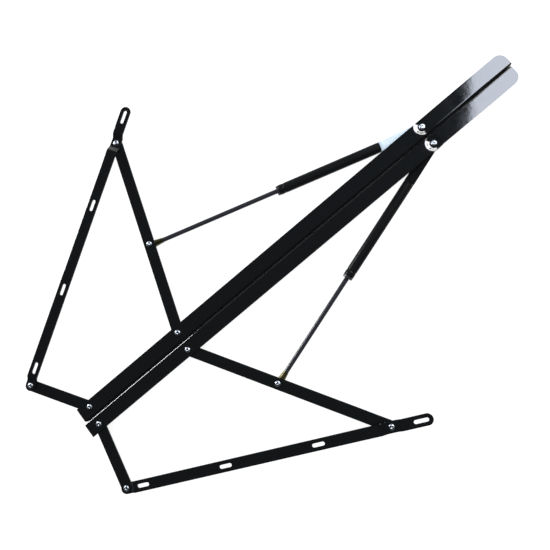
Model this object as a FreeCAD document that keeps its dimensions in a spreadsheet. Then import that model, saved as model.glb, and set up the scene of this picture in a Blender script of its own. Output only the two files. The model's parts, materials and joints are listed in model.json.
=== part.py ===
import FreeCAD, Part
import math
import os
import Sketcher

# Matched pair of gas strut bed lifts, lying flat side by side.
# +X runs along the base rails towards the strut anchors, +Y is the left hand unit,
# +Z is up, away from the surface that the rail flanges stand on.
# All sizes are in millimetres and all angles in degrees.

os.makedirs("parts", exist_ok=True)
doc = FreeCAD.newDocument("GasStrutLiftPair")

DRIVING = {
    # pivot centre distances
    "rear_to_main": 253.0,
    "main_to_anchor": 667.0,
    "short_link_reach": 147.0,
    "long_link_reach": 448.0,
    "lift_rail_reach": 570.0,
    "strut_on_link": 205.0,
    # base rail, a length of angle with its flange down
    "rail_near_end": 27.0,
    "rail_far_end": 215.0,
    "rail_web": 33.5,
    "rail_flange": 30.0,
    "rail_wall": 2.5,
    "rail_bend": 3.5,
    "rail_inner_bend": 1.0,
    "rail_far_corner": 18.0,
    "rail_flange_corner": 3.0,
    "rail_half_gap": 1.5,
    "pivot_inset": 19.5,
    "right_unit_back": 5.0,
    "flange_hole_radius": 3.25,
    "flange_hole_height": 13.0,
    "flange_hole_first": 80.0,
    "flange_hole_step": 320.0,
    "recess_radius": 18.0,
    "recess_floor": 9.0,
    "recess_depth": 3.0,
    # links and lift rail
    "link_width": 25.0,
    "link_plate": 3.0,
    "edge_break": 0.4,
    "layer_gap": 1.0,
    "lift_width": 24.0,
    "lift_plate": 3.0,
    "lift_step": 7.0,
    "lift_pad": 10.0,
    "lift_slope": 10.0,
    "lift_tip": 653.0,
    "slot_near": 41.0,
    "slot_middle": 223.5,
    "slot_far": 420.5,
    "slot_ear": 629.0,
    "slot_length": 26.0,
    "slot_width": 8.0,
    "ear_slot_length": 30.0,
    # rivets, washers and studs
    "rivet_shank": 4.0,
    "rivet_head": 6.25,
    "rivet_head_height": 3.0,
    "head_rounding": 2.4,
    "dimple_radius": 2.2,
    "dimple_floor": 1.2,
    "dimple_depth": 1.2,
    "rivet_tail": 6.0,
    "rivet_tail_height": 2.0,
    "washer_radius": 8.0,
    "running_fit": 0.05,
    "body_gap": 0.3,
    "anchor_head": 6.75,
    "nut_flats": 13.0,
    "nut_height": 3.0,
    "stud_past_nut": 1.5,
    "stud_shoulder": 5.0,
    # gas strut, measured along its axis from the anchor
    "strut_level": 12.0,
    "tube_radius": 11.0,
    "tube_bore": 9.5,
    "tube_start": 95.0,
    "tube_mouth": 322.0,
    "cap_length": 5.0,
    "cap_step": 0.4,
    "crimp_back": 17.0,
    "crimp_width": 3.0,
    "crimp_floor": 1.2,
    "crimp_depth": 0.8,
    "guide_length": 12.0,
    "seal_length": 6.0,
    "plug_length": 14.0,
    "plug_rim": 3.0,
    "bracket_plate": 3.0,
    "bracket_eye": 11.0,
    "bracket_corner": 10.8,
    "bracket_flat": 15.0,
    "bracket_slope_end": 78.0,
    "rod_radius": 5.0,
    "rod_stem": 3.5,
    "rod_start": 14.0,
    "piston_back": 330.0,
    "piston_length": 10.0,
    "piston_radius": 9.0,
    "ring_seat": 7.5,
    "ring_radius": 9.42,
    "ring_length": 2.5,
    "rod_nut_radius": 6.0,
    "rod_nut_height": 5.0,
    "eye_radius": 9.0,
    "eye_plate": 5.0,
    "blade_end": 4.0,
    "socket_radius": 7.5,
    "socket_neck": 5.6,
    "socket_start": 8.0,
    "socket_end": 28.0,
}

# How far each unit stands open: the long link's angle from the base rail.
OPENING = {"left": 70.3, "right": 58.7}
SIDE = {"left": 1, "right": -1}

dims = doc.addObject("Spreadsheet::Sheet", "dims")
for row, (alias, size) in enumerate(DRIVING.items(), start=1):
    dims.set("A%d" % row, alias)
    dims.set("B%d" % row, str(size))
    dims.setAlias("B%d" % row, alias)
doc.recompute()


class Size:
    """A number that carries the formula which ties it to the spreadsheet."""

    def __init__(self, value, formula):
        self.value = value
        self.formula = formula

    def __add__(self, other):
        other = as_size(other)
        return Size(self.value + other.value, "(%s + %s)" % (self.formula, other.formula))

    def __sub__(self, other):
        other = as_size(other)
        return Size(self.value - other.value, "(%s - %s)" % (self.formula, other.formula))

    def __mul__(self, factor):
        return Size(self.value * factor, "(%s * %s)" % (self.formula, factor))

    def __neg__(self):
        return self * -1


def as_size(number):
    if isinstance(number, Size):
        return number
    return Size(float(number), str(float(number)))


def dim(alias):
    return Size(DRIVING[alias], "dims.%s" % alias)


ZERO = as_size(0)
PLATE_Z = dim("rail_flange")
WEB_BOTTOM = PLATE_Z - dim("rail_wall")
LINK_TOP = WEB_BOTTOM - dim("layer_gap")
LINK_BOTTOM = LINK_TOP - dim("link_plate")
PAD_BOTTOM = LINK_TOP + dim("layer_gap")
PAD_TOP = PAD_BOTTOM + dim("lift_plate")
PIVOT_Y = dim("rail_half_gap") + dim("pivot_inset")
RECESS_TOP = PLATE_Z - dim("recess_depth")
RECESS_BOTTOM = RECESS_TOP - dim("rail_wall")
EYE_TOP = RECESS_BOTTOM - dim("layer_gap")
EYE_BOTTOM = EYE_TOP - dim("bracket_plate")
PIN_TOP = dim("strut_level") + dim("socket_radius")


# ---------------------------------------------------------------- sketch helpers

def bind(target, prop, size):
    """Set a property from a size and tie it to the spreadsheet."""
    target.setExpression(prop, as_size(size).formula)


def new_body(label):
    body = doc.addObject("PartDesign::Body", label)
    body.Label = label
    return body


def new_sketch(body, role, name, offset=None):
    """A sketch on one of the body's own origin planes, raised by an optional offset."""
    sketch = body.newObject("Sketcher::SketchObject", name)
    plane = [item for item in body.Origin.OriginFeatures if item.Role == role][0]
    sketch.AttachmentSupport = [(plane, "")]
    sketch.MapMode = "FlatFace"
    if offset is not None:
        sketch.AttachmentOffset = FreeCAD.Placement(offset, FreeCAD.Rotation())
    return sketch


def place_point(sketch, geometry, end, x, y):
    """Hold one point of a sketch at x, y from the sketch's origin."""
    for kind, size in (("DistanceX", x), ("DistanceY", y)):
        size = as_size(size)
        index = sketch.addConstraint(
            Sketcher.Constraint(kind, -1, 1, geometry, end, size.value))
        sketch.setExpression("Constraints[%d]" % index, size.formula)


def add_polygon(sketch, points):
    """A closed outline of straight edges through the points."""
    points = [(as_size(x), as_size(y)) for x, y in points]
    corners = [FreeCAD.Vector(x.value, y.value, 0) for x, y in points]
    first = sketch.GeometryCount
    count = len(corners)
    for index in range(count):
        edge = Part.LineSegment(corners[index], corners[(index + 1) % count])
        sketch.addGeometry(edge, False)
    for index in range(count):
        following = first + (index + 1) % count
        sketch.addConstraint(
            Sketcher.Constraint("Coincident", first + index, 2, following, 1))
    for index, (x, y) in enumerate(points):
        place_point(sketch, first + index, 1, x, y)


def add_circle(sketch, x, y, radius):
    x, y, radius = as_size(x), as_size(y), as_size(radius)
    centre = FreeCAD.Vector(x.value, y.value, 0)
    circle = Part.Circle(centre, FreeCAD.Vector(0, 0, 1), radius.value)
    index = sketch.addGeometry(circle, False)
    place_point(sketch, index, 3, x, y)
    rule = sketch.addConstraint(Sketcher.Constraint("Radius", index, radius.value))
    sketch.setExpression("Constraints[%d]" % rule, radius.formula)


def add_slot(sketch, start_x, end_x, y, radius):
    """A slot outline along X between two arc centres."""
    start_x, end_x, radius = as_size(start_x), as_size(end_x), as_size(radius)
    y = as_size(y)
    up = FreeCAD.Vector(0, radius.value, 0)
    start = FreeCAD.Vector(start_x.value, y.value, 0)
    end = FreeCAD.Vector(end_x.value, y.value, 0)
    normal = FreeCAD.Vector(0, 0, 1)
    quarter = math.pi / 2
    left = sketch.addGeometry(
        Part.ArcOfCircle(Part.Circle(start, normal, radius.value), quarter, 3 * quarter), False)
    right = sketch.addGeometry(
        Part.ArcOfCircle(Part.Circle(end, normal, radius.value), -quarter, quarter), False)
    lower = sketch.addGeometry(Part.LineSegment(start - up, end - up), False)
    upper = sketch.addGeometry(Part.LineSegment(end + up, start + up), False)
    joins = ((left, 2, lower, 1), (lower, 2, right, 1), (right, 2, upper, 1), (upper, 2, left, 1))
    for join in joins:
        sketch.addConstraint(Sketcher.Constraint("Tangent", *join))
    for arc, x in ((left, start_x), (right, end_x)):
        place_point(sketch, arc, 3, x, y)
        rule = sketch.addConstraint(Sketcher.Constraint("Radius", arc, radius.value))
        sketch.setExpression("Constraints[%d]" % rule, radius.formula)


# ---------------------------------------------------------------- feature helpers

def pad(body, sketch, length, both_ways=False):
    feature = body.newObject("PartDesign::Pad", sketch.Name + "Pad")
    feature.Profile = sketch
    feature.Midplane = both_ways
    bind(feature, "Length", length)
    doc.recompute()
    return feature


def pocket_through(body, sketch):
    """Cut the sketch's outline right through, both ways."""
    before = body.Shape.Volume
    feature = body.newObject("PartDesign::Pocket", sketch.Name + "Pocket")
    feature.Profile = sketch
    feature.Type = "ThroughAll"
    feature.Midplane = True
    doc.recompute()
    if body.Shape.Volume >= before:
        raise RuntimeError("%s cuts nothing" % feature.Name)
    return feature


def turn(body, sketch, axis, cutting=False):
    """Revolve a sketch about its own horizontal or vertical axis."""
    kind = "PartDesign::Groove" if cutting else "PartDesign::Revolution"
    before = body.Shape.Volume if cutting else 0.0
    feature = body.newObject(kind, sketch.Name + "Turned")
    feature.Profile = sketch
    feature.ReferenceAxis = (sketch, [axis])
    feature.Angle = 360.0
    doc.recompute()
    if cutting and body.Shape.Volume >= before:
        raise RuntimeError("%s cuts nothing" % feature.Name)
    return feature


def edges_where(shape, test):
    """The names of the edges that pass a test."""
    return ["Edge%d" % (index + 1) for index, edge in enumerate(shape.Edges) if test(edge)]


def round_edges(body, test, radius):
    base = body.Tip
    names = edges_where(base.Shape, test)
    if not names:
        raise RuntimeError("%s has no edge to round" % body.Label)
    feature = body.newObject("PartDesign::Fillet", body.Label + "Fillet")
    feature.Base = (base, names)
    bind(feature, "Radius", radius)
    doc.recompute()


def break_edges(body, test, size):
    base = body.Tip
    names = edges_where(base.Shape, test)
    if not names:
        raise RuntimeError("%s has no edge to break" % body.Label)
    feature = body.newObject("PartDesign::Chamfer", body.Label + "Chamfer")
    feature.Base = (base, names)
    bind(feature, "Size", size)
    doc.recompute()


def on_plane(edge, axis, value):
    """True when the whole edge lies at one value of x, y or z."""
    box = edge.BoundBox
    low = getattr(box, axis + "Min")
    high = getattr(box, axis + "Max")
    return abs(low - value) < 1e-4 and abs(high - value) < 1e-4


def turned_z(label, points):
    """A piece turned about Z, from (radius, height) points."""
    body = new_body(label)
    sketch = new_sketch(body, "XZ_Plane", label + "Profile")
    add_polygon(sketch, points)
    turn(body, sketch, "V_Axis")
    return body


def turned_x(label, points):
    """A piece turned about X, from (distance, radius) points."""
    body = new_body(label)
    sketch = new_sketch(body, "XY_Plane", label + "Profile")
    add_polygon(sketch, points)
    turn(body, sketch, "H_Axis")
    return body


# ---------------------------------------------------------------- where things stand

def polar(length, angle):
    turn_angle = math.radians(angle)
    return FreeCAD.Vector(length * math.cos(turn_angle), length * math.sin(turn_angle), 0)


def solve_unit(opening):
    """Pivot places and bar angles of a left hand unit for one long link angle."""
    rear = FreeCAD.Vector(0, PIVOT_Y.value, 0)
    main = rear + FreeCAD.Vector(DRIVING["rear_to_main"], 0, 0)
    anchor = main + FreeCAD.Vector(DRIVING["main_to_anchor"], 0, 0)
    lift_front = main + polar(DRIVING["long_link_reach"], opening)
    stud = main + polar(DRIVING["strut_on_link"], opening)
    span = lift_front - rear
    short = DRIVING["short_link_reach"]
    lift = DRIVING["lift_rail_reach"]
    along = (short ** 2 - lift ** 2 + span.Length ** 2) / (2 * span.Length)
    aside = math.sqrt(short ** 2 - along ** 2)
    ahead = FreeCAD.Vector(span).normalize()
    across = FreeCAD.Vector(-ahead.y, ahead.x, 0)
    lift_rear = rear + ahead * along + across * aside
    places = {"rear": rear, "main": main, "anchor": anchor}
    places.update({"lift_front": lift_front, "lift_rear": lift_rear, "stud": stud})
    return places


def heading(start, end):
    step = end - start
    return math.degrees(math.atan2(step.y, step.x))


def mirrored(place, side):
    """The same place on this side's unit; the right hand unit lies a little further back."""
    back = DRIVING["right_unit_back"] if side < 0 else 0.0
    return FreeCAD.Vector(place.x - back, place.y * side, place.z)


# ---------------------------------------------------------------- structure

def base_rail(label, side):
    """Angle section rail: web on top, flange down on the side of the other unit."""
    body = new_body(label)
    inner = dim("rail_half_gap") * side
    outer = (dim("rail_half_gap") + dim("rail_web")) * side
    wall = (dim("rail_half_gap") + dim("rail_wall")) * side
    near = -dim("rail_near_end")
    far = dim("rear_to_main") + dim("main_to_anchor") + dim("rail_far_end")
    anchor = dim("rear_to_main") + dim("main_to_anchor")
    start = FreeCAD.Vector(0, 0, near.value)
    section = new_sketch(body, "YZ_Plane", label + "Section", start)
    section.setExpression("AttachmentOffset.Base.z", near.formula)
    add_polygon(section, [
        (inner, ZERO), (wall, ZERO), (wall, WEB_BOTTOM), (outer, WEB_BOTTOM),
        (outer, PLATE_Z), (inner, PLATE_Z)])
    pad(body, section, far - near)

    def bend_edge(y, z):
        def test(edge):
            return on_plane(edge, "Y", y) and on_plane(edge, "Z", z)
        return test

    round_edges(body, bend_edge(inner.value, PLATE_Z.value), dim("rail_bend"))
    round_edges(body, bend_edge(wall.value, WEB_BOTTOM.value), dim("rail_inner_bend"))
    round_edges(
        body, lambda edge: on_plane(edge, "X", far.value) and on_plane(edge, "Y", outer.value),
        dim("rail_far_corner"))
    round_edges(
        body, lambda edge: on_plane(edge, "X", far.value) and on_plane(edge, "Z", 0.0),
        dim("rail_flange_corner"))

    # The web is pressed down around the strut anchor, and the press runs off its edge.
    offset = FreeCAD.Vector(anchor.value, 0, -PIVOT_Y.value * side)
    below = new_sketch(body, "XZ_Plane", label + "PressBelow", offset)
    add_polygon(below, [
        (ZERO, RECESS_BOTTOM), (dim("recess_floor"), RECESS_BOTTOM),
        (dim("recess_radius"), WEB_BOTTOM), (dim("recess_radius"), WEB_BOTTOM + 1),
        (ZERO, WEB_BOTTOM + 1)])
    turn(body, below, "V_Axis")
    above = new_sketch(body, "XZ_Plane", label + "PressAbove", offset)
    add_polygon(above, [
        (ZERO, RECESS_TOP), (dim("recess_floor"), RECESS_TOP),
        (dim("recess_radius"), PLATE_Z), (dim("recess_radius"), PLATE_Z + 1),
        (ZERO, PLATE_Z + 1)])
    turn(body, above, "V_Axis", cutting=True)
    trim = new_sketch(body, "XY_Plane", label + "EdgeTrim")
    reach = dim("recess_radius") * 1.5
    add_polygon(trim, [
        (anchor - reach, outer), (anchor + reach, outer),
        (anchor + reach, outer + reach * side), (anchor - reach, outer + reach * side)])
    pocket_through(body, trim)

    holes = new_sketch(body, "XY_Plane", label + "PivotHoles")
    for x in (ZERO, dim("rear_to_main"), anchor):
        add_circle(holes, x, PIVOT_Y * side, dim("rivet_shank"))
    pocket_through(body, holes)
    fixings = new_sketch(body, "XZ_Plane", label + "FixingHoles")
    for index in range(4):
        x = dim("flange_hole_first") + dim("flange_hole_step") * index
        add_circle(fixings, x, dim("flange_hole_height"), dim("flange_hole_radius"))
    pocket_through(body, fixings)
    return body


def flat_link(label, reach, holes):
    """A flat bar with round ends and a round hole at each (distance, radius)."""
    body = new_body(label)
    outline = new_sketch(body, "XY_Plane", label + "Outline")
    add_slot(outline, ZERO, reach, ZERO, dim("link_width") * 0.5)
    pad(body, outline, dim("link_plate"))
    cuts = new_sketch(body, "XY_Plane", label + "Holes")
    for x, radius in holes:
        add_circle(cuts, x, ZERO, radius)
    pocket_through(body, cuts)
    flat_ends = (0.0, DRIVING["link_plate"])
    hole_limit = DRIVING["washer_radius"]

    def rim(edge):
        level = any(on_plane(edge, "Z", z) for z in flat_ends)
        hole = edge.Curve.TypeId == "Part::GeomCircle" and edge.Curve.Radius < hole_limit
        return level and not hole

    break_edges(body, rim, dim("edge_break"))
    return body


def lift_rail(label):
    """The upper bar: two sunk pivot pads, a raised slotted bar and a slotted ear."""
    body = new_body(label)
    low, high, plate = ZERO, dim("lift_step"), dim("lift_plate")
    reach, tip = dim("lift_rail_reach"), dim("lift_tip")
    flat, slope = dim("lift_pad"), dim("lift_slope")
    half = dim("lift_width") * 0.5
    stations = [
        (-half, low), (flat, low), (flat + slope, high),
        (reach - flat - slope, high), (reach - flat, low),
        (reach + flat, low), (reach + flat + slope, high), (tip, high)]
    side_view = new_sketch(body, "XZ_Plane", label + "SideView")
    under = [(x, z) for x, z in stations]
    over = [(x, z + plate) for x, z in reversed(stations)]
    add_polygon(side_view, under + over)
    pad(body, side_view, dim("lift_width"), both_ways=True)

    ends = new_sketch(body, "XY_Plane", label + "EndShape")
    add_slot(ends, ZERO, tip - half, ZERO, half)
    margin = dim("lift_width")
    add_polygon(ends, [
        (-margin, -margin), (tip + margin, -margin), (tip + margin, margin), (-margin, margin)])
    pocket_through(body, ends)

    slots = new_sketch(body, "XY_Plane", label + "Slots")
    radius = dim("slot_width") * 0.5
    for alias in ("slot_near", "slot_middle", "slot_far"):
        travel = dim("slot_length") * 0.5 - radius
        add_slot(slots, dim(alias) - travel, dim(alias) + travel, ZERO, radius)
    travel = dim("ear_slot_length") * 0.5 - radius
    add_slot(slots, dim("slot_ear") - travel, dim("slot_ear") + travel, ZERO, radius)
    for x in (ZERO, reach):
        add_circle(slots, x, ZERO, dim("rivet_shank"))
    pocket_through(body, slots)
    return body


# ---------------------------------------------------------------- rivets and washers

def domed_head(body, top, radius):
    """Round the rim of a rivet head that ends at the height top."""
    def rim(edge):
        circle = edge.Curve.TypeId == "Part::GeomCircle"
        return circle and on_plane(edge, "Z", top) and abs(edge.Curve.Radius - radius) < 1e-4
    round_edges(body, rim, dim("head_rounding"))


def dimpled_top(top):
    """The hollow in the middle of a head, as the start of its profile."""
    floor = top - dim("dimple_depth")
    return [(ZERO, floor), (dim("dimple_floor"), floor), (dim("dimple_radius"), top)]


def rivet(label, head_level, foot_level, tail, head_radius="rivet_head"):
    """A rivet with a domed, dimpled head, and a tail head where tail is true."""
    head = dim(head_radius)
    top = head_level + dim("rivet_head_height")
    shank = dim("rivet_shank")
    profile = dimpled_top(top) + [(head, top), (head, head_level), (shank, head_level)]
    if tail:
        tail_foot = foot_level - dim("rivet_tail_height")
        profile += [(shank, foot_level), (dim("rivet_tail"), foot_level),
                    (dim("rivet_tail"), tail_foot), (ZERO, tail_foot)]
    else:
        profile += [(shank, foot_level), (ZERO, foot_level)]
    body = turned_z(label, profile)
    domed_head(body, top.value, head.value)
    return body


def washer(label, low, high):
    bore = dim("rivet_shank") + dim("running_fit")
    rim = dim("washer_radius")
    return turned_z(label, [(bore, low), (rim, low), (rim, high), (bore, high)])


def rail_washers(label):
    """The three washers under the web: rear pivot, main pivot and strut anchor."""
    web_side = washer(label + "Rear", LINK_TOP + dim("body_gap"), WEB_BOTTOM)
    main_side = washer(label + "Main", LINK_TOP + dim("body_gap"), WEB_BOTTOM)
    anchor_side = washer(label + "Anchor", EYE_TOP + dim("body_gap"), RECESS_BOTTOM)
    main_side.Placement.Base.x = DRIVING["rear_to_main"]
    anchor_side.Placement.Base.x = DRIVING["rear_to_main"] + DRIVING["main_to_anchor"]
    group = doc.addObject("Part::Compound", label)
    group.Label = label
    group.Links = [web_side, main_side, anchor_side]
    doc.recompute()
    return group


def strut_stud(label):
    """Shouldered stud in the long link that reaches down to the rod eye."""
    head, shank, shoulder = dim("rivet_head"), dim("rivet_shank"), dim("stud_shoulder")
    top = LINK_TOP + dim("rivet_head_height")
    foot = PIN_TOP + dim("body_gap")
    body = turned_z(label, dimpled_top(top) + [
        (head, top), (head, LINK_TOP), (shank, LINK_TOP), (shank, LINK_BOTTOM),
        (shoulder, LINK_BOTTOM), (shoulder, foot), (ZERO, foot)])
    domed_head(body, top.value, head.value)
    return body


def hex_nut(label, foot):
    """Hexagon nut with a plain bore, standing on the height foot."""
    body = new_body(label)
    offset = FreeCAD.Vector(0, 0, foot.value)
    outline = new_sketch(body, "XY_Plane", label + "Outline", offset)
    outline.setExpression("AttachmentOffset.Base.z", foot.formula)
    corner_reach = dim("nut_flats") * (0.5 / math.cos(math.radians(30)))
    corners = []
    for index in range(6):
        angle = math.radians(60 * index)
        corners.append((corner_reach * math.cos(angle), corner_reach * math.sin(angle)))
    add_polygon(outline, corners)
    add_circle(outline, ZERO, ZERO, dim("rivet_shank"))
    pad(body, outline, dim("nut_height"))
    return body


# ---------------------------------------------------------------- gas strut

def strut_tube(label):
    """Thin tube with a rolled groove behind its mouth."""
    outer, bore = dim("tube_radius"), dim("tube_bore")
    start, mouth = dim("tube_start"), dim("tube_mouth")
    groove = mouth - dim("crimp_back") + dim("cap_length")
    half, half_floor = dim("crimp_width") * 0.5, dim("crimp_floor") * 0.5
    floor = outer - dim("crimp_depth")
    return turned_x(label, [
        (start, bore), (mouth, bore), (mouth, outer),
        (groove + half, outer), (groove + half_floor, floor),
        (groove - half_floor, floor), (groove - half, outer), (start, outer)])


def ring_x(label, start, end, bore, outer):
    return turned_x(label, [(start, bore), (end, bore), (end, outer), (start, outer)])


def end_plug(label):
    """Plug welded into the tube's closed end."""
    start, bore, outer = dim("tube_start"), dim("tube_bore"), dim("tube_radius")
    rim = start - dim("plug_rim")
    return turned_x(label, [
        (rim, ZERO), (start + dim("plug_length"), ZERO), (start + dim("plug_length"), bore),
        (start, bore), (start, outer), (rim, outer)])


def end_bracket(label):
    """Cranked flat plate from the tube's end up to the eye on the anchor stud."""
    body = new_body(label)
    plate = dim("bracket_plate")
    eye, flat, slope_end = dim("bracket_eye"), dim("bracket_flat"), dim("bracket_slope_end")
    tube_low = dim("strut_level") - plate * 0.5
    end = dim("tube_start") - dim("plug_rim")
    under = [(-eye, EYE_BOTTOM), (flat, EYE_BOTTOM), (slope_end, tube_low), (end, tube_low)]
    over = [(x, z + plate) for x, z in reversed(under)]
    side_view = new_sketch(body, "XZ_Plane", label + "SideView")
    add_polygon(side_view, under + over)
    pad(body, side_view, eye * 2, both_ways=True)
    round_edges(
        body, lambda edge: on_plane(edge, "X", -eye.value) and
        abs(abs(edge.BoundBox.YMin) - eye.value) < 1e-4 and edge.BoundBox.YLength < 1e-4,
        dim("bracket_corner"))
    hole = new_sketch(body, "XY_Plane", label + "EyeHole")
    add_circle(hole, ZERO, ZERO, dim("rivet_shank") + dim("running_fit"))
    pocket_through(body, hole)
    return body


def rod_end(label):
    """Flat eye on the end of the rod, and a socket that widens towards it."""
    body = new_body(label)
    level = dim("strut_level")
    blade = new_sketch(body, "XY_Plane", label + "Blade", FreeCAD.Vector(0, 0, level.value))
    blade.setExpression("AttachmentOffset.Base.z", level.formula)
    add_slot(blade, ZERO, dim("blade_end"), ZERO, dim("eye_radius"))
    add_circle(blade, ZERO, ZERO, dim("rivet_shank"))
    pad(body, blade, dim("eye_plate"))
    socket = new_sketch(
        body, "XY_Plane", label + "Socket", FreeCAD.Vector(0, 0, level.value))
    socket.setExpression("AttachmentOffset.Base.z", level.formula)
    start, end = dim("socket_start"), dim("socket_end")
    add_polygon(socket, [
        (start, ZERO), (dim("rod_start"), ZERO), (dim("rod_start"), dim("rod_radius")),
        (end, dim("rod_radius")), (end, dim("socket_neck")),
        (start, dim("socket_radius"))])
    turn(body, socket, "H_Axis")
    return body


def rod_eye_pin(label):
    """Pin in the rod eye, headed underneath."""
    shank, head = dim("rivet_shank"), dim("rivet_tail")
    level = dim("strut_level")
    foot = level - dim("rivet_tail_height")
    return turned_z(label, [
        (ZERO, foot), (head, foot), (head, level), (shank, level),
        (shank, PIN_TOP), (ZERO, PIN_TOP)])


def piston(label):
    """Piston with a groove for its ring, bored for the rod's stem."""
    start = dim("piston_back")
    end = start + dim("piston_length")
    outer, floor = dim("piston_radius"), dim("ring_seat")
    low = start + (dim("piston_length") - dim("ring_length")) * 0.5
    high = low + dim("ring_length")
    stem = dim("rod_stem")
    return turned_x(label, [
        (start, stem), (end, stem), (end, outer), (high, outer), (high, floor),
        (low, floor), (low, outer), (start, outer)])


def strut_rod(label):
    """Rod with a thinner stem that carries the piston and its nut."""
    outer = dim("rod_radius")
    stem = dim("rod_stem")
    start, shoulder = dim("rod_start"), dim("piston_back")
    end = shoulder + dim("piston_length") + dim("rod_nut_height")
    return turned_x(label, [
        (start, ZERO), (end, ZERO), (end, stem), (shoulder, stem), (shoulder, outer),
        (start, outer)])


# ---------------------------------------------------------------- the two units

finished = []


def stand(piece, place, side, angle=0.0, level=0.0):
    """Put a piece at a pivot, turned about Z; a right hand unit turns the other way."""
    spot = mirrored(place, side) + FreeCAD.Vector(0, 0, level)
    turn_about_z = FreeCAD.Rotation(FreeCAD.Vector(0, 0, 1), angle * side)
    piece.Placement = FreeCAD.Placement(spot, turn_about_z)
    finished.append(piece)


def build_unit(hand):
    side = SIDE[hand]
    places = solve_unit(OPENING[hand])
    rear, main, anchor = places["rear"], places["main"], places["anchor"]
    lift_rear, lift_front, stud = places["lift_rear"], places["lift_front"], places["stud"]
    origin = FreeCAD.Vector(0, 0, 0)
    shank, fit = dim("rivet_shank"), dim("running_fit")
    tail_level = LINK_BOTTOM - dim("body_gap")

    stand(base_rail(hand + "_base_rail", side), origin, side)
    long_link = flat_link(hand + "_long_link", dim("long_link_reach"), [
        (ZERO, shank + fit), (dim("strut_on_link"), shank), (dim("long_link_reach"), shank + fit)])
    stand(long_link, main, side, OPENING[hand], LINK_BOTTOM.value)
    short_link = flat_link(hand + "_short_link", dim("short_link_reach"), [
        (ZERO, shank + fit), (dim("short_link_reach"), shank)])
    stand(short_link, rear, side, heading(rear, lift_rear), LINK_BOTTOM.value)
    lift_heading = heading(lift_rear, lift_front)
    stand(lift_rail(hand + "_lift_rail"), lift_rear, side, lift_heading, PAD_BOTTOM.value)

    stand(rivet(hand + "_rear_pivot_rivet", PLATE_Z, tail_level, True), rear, side)
    stand(rivet(hand + "_main_pivot_rivet", PLATE_Z, tail_level, True), main, side)
    stand(rail_washers(hand + "_rail_washers"), rear, side)
    stand(rivet(hand + "_front_lift_rivet", PAD_TOP, tail_level, True), lift_front, side)
    stand(washer(hand + "_front_lift_washer", LINK_TOP + dim("body_gap"), PAD_BOTTOM),
          lift_front, side)
    stand(rivet(hand + "_rear_lift_rivet", PAD_TOP, PAD_BOTTOM, False), lift_rear, side)
    stand(washer(hand + "_rear_lift_washer", LINK_TOP, PAD_BOTTOM - dim("body_gap")),
          lift_rear, side)
    tail_foot = LINK_BOTTOM - dim("rivet_tail_height")
    rivet_tail = turned_z(hand + "_rear_lift_tail", [
        (ZERO, tail_foot), (dim("rivet_tail"), tail_foot), (dim("rivet_tail"), LINK_BOTTOM),
        (shank, LINK_BOTTOM), (shank, LINK_TOP), (ZERO, LINK_TOP)])
    stand(rivet_tail, lift_rear, side)

    stand(strut_stud(hand + "_strut_stud"), stud, side)
    nut_top = EYE_BOTTOM - dim("body_gap")
    anchor_stud = rivet(hand + "_anchor_stud", RECESS_TOP, nut_top - dim("nut_height") - dim("stud_past_nut"),
                        False, "anchor_head")
    stand(anchor_stud, anchor, side)
    stand(hex_nut(hand + "_anchor_nut", nut_top - dim("nut_height")), anchor, side)

    strut_heading = heading(anchor, stud)
    level = DRIVING["strut_level"]
    mouth, bore = dim("tube_mouth"), dim("tube_bore")
    guide_start = mouth - dim("guide_length")
    seal_start = guide_start - dim("seal_length")
    rod_bore = dim("rod_radius") + fit
    stand(strut_tube(hand + "_strut_tube"), anchor, side, strut_heading, level)
    cap = ring_x(hand + "_gland_cap", mouth, mouth + dim("cap_length"), rod_bore,
                 dim("tube_radius") - dim("cap_step"))
    stand(cap, anchor, side, strut_heading, level)
    guide = ring_x(hand + "_rod_guide", guide_start, mouth, rod_bore, bore)
    stand(guide, anchor, side, strut_heading, level)
    seal = ring_x(hand + "_rod_seal", seal_start, guide_start, rod_bore, bore)
    stand(seal, anchor, side, strut_heading, level)
    stand(end_plug(hand + "_tube_end_plug"), anchor, side, strut_heading, level)
    stand(end_bracket(hand + "_end_bracket"), anchor, side, strut_heading)

    rod_heading = heading(stud, anchor)
    stand(strut_rod(hand + "_strut_rod"), stud, side, rod_heading, level)
    stand(rod_end(hand + "_rod_end"), stud, side, rod_heading)
    stand(rod_eye_pin(hand + "_rod_eye_pin"), stud, side)
    stand(piston(hand + "_piston"), stud, side, rod_heading, level)
    ring_start = dim("piston_back") + (dim("piston_length") - dim("ring_length")) * 0.5
    ring = ring_x(hand + "_piston_ring", ring_start, ring_start + dim("ring_length"),
                  dim("ring_seat"), dim("ring_radius"))
    stand(ring, stud, side, rod_heading, level)
    nut_start = dim("piston_back") + dim("piston_length")
    rod_nut = ring_x(hand + "_piston_nut", nut_start, nut_start + dim("rod_nut_height"),
                     dim("rod_stem"), dim("rod_nut_radius"))
    stand(rod_nut, stud, side, rod_heading, level)


for hand_name in ("left", "right"):
    build_unit(hand_name)
doc.recompute()

# The origin is under the middle of the pair's bounding box.
whole = FreeCAD.BoundBox()
for piece in finished:
    whole.add(piece.Shape.optimalBoundingBox(False, False))
shift = FreeCAD.Vector(-whole.Center.x, -whole.Center.y, 0)
for piece in finished:
    piece.Placement.Base = piece.Placement.Base + shift
doc.recompute()
print("shift", round(shift.x, 4), round(shift.y, 4), "box", whole)

for item in doc.Objects:
    if "Invalid" in item.State or "Error" in item.State:
        raise RuntimeError("%s did not build: %s" % (item.Label, item.State))
for piece in finished:
    shape = piece.Shape
    if shape.isNull() or not shape.isValid() or shape.Volume <= 0:
        raise RuntimeError("%s has no sound shape" % piece.Label)
    shape.exportStep("parts/%s.step" % piece.Label)
print(len(finished), "pieces")
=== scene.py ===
import json
import math

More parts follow.
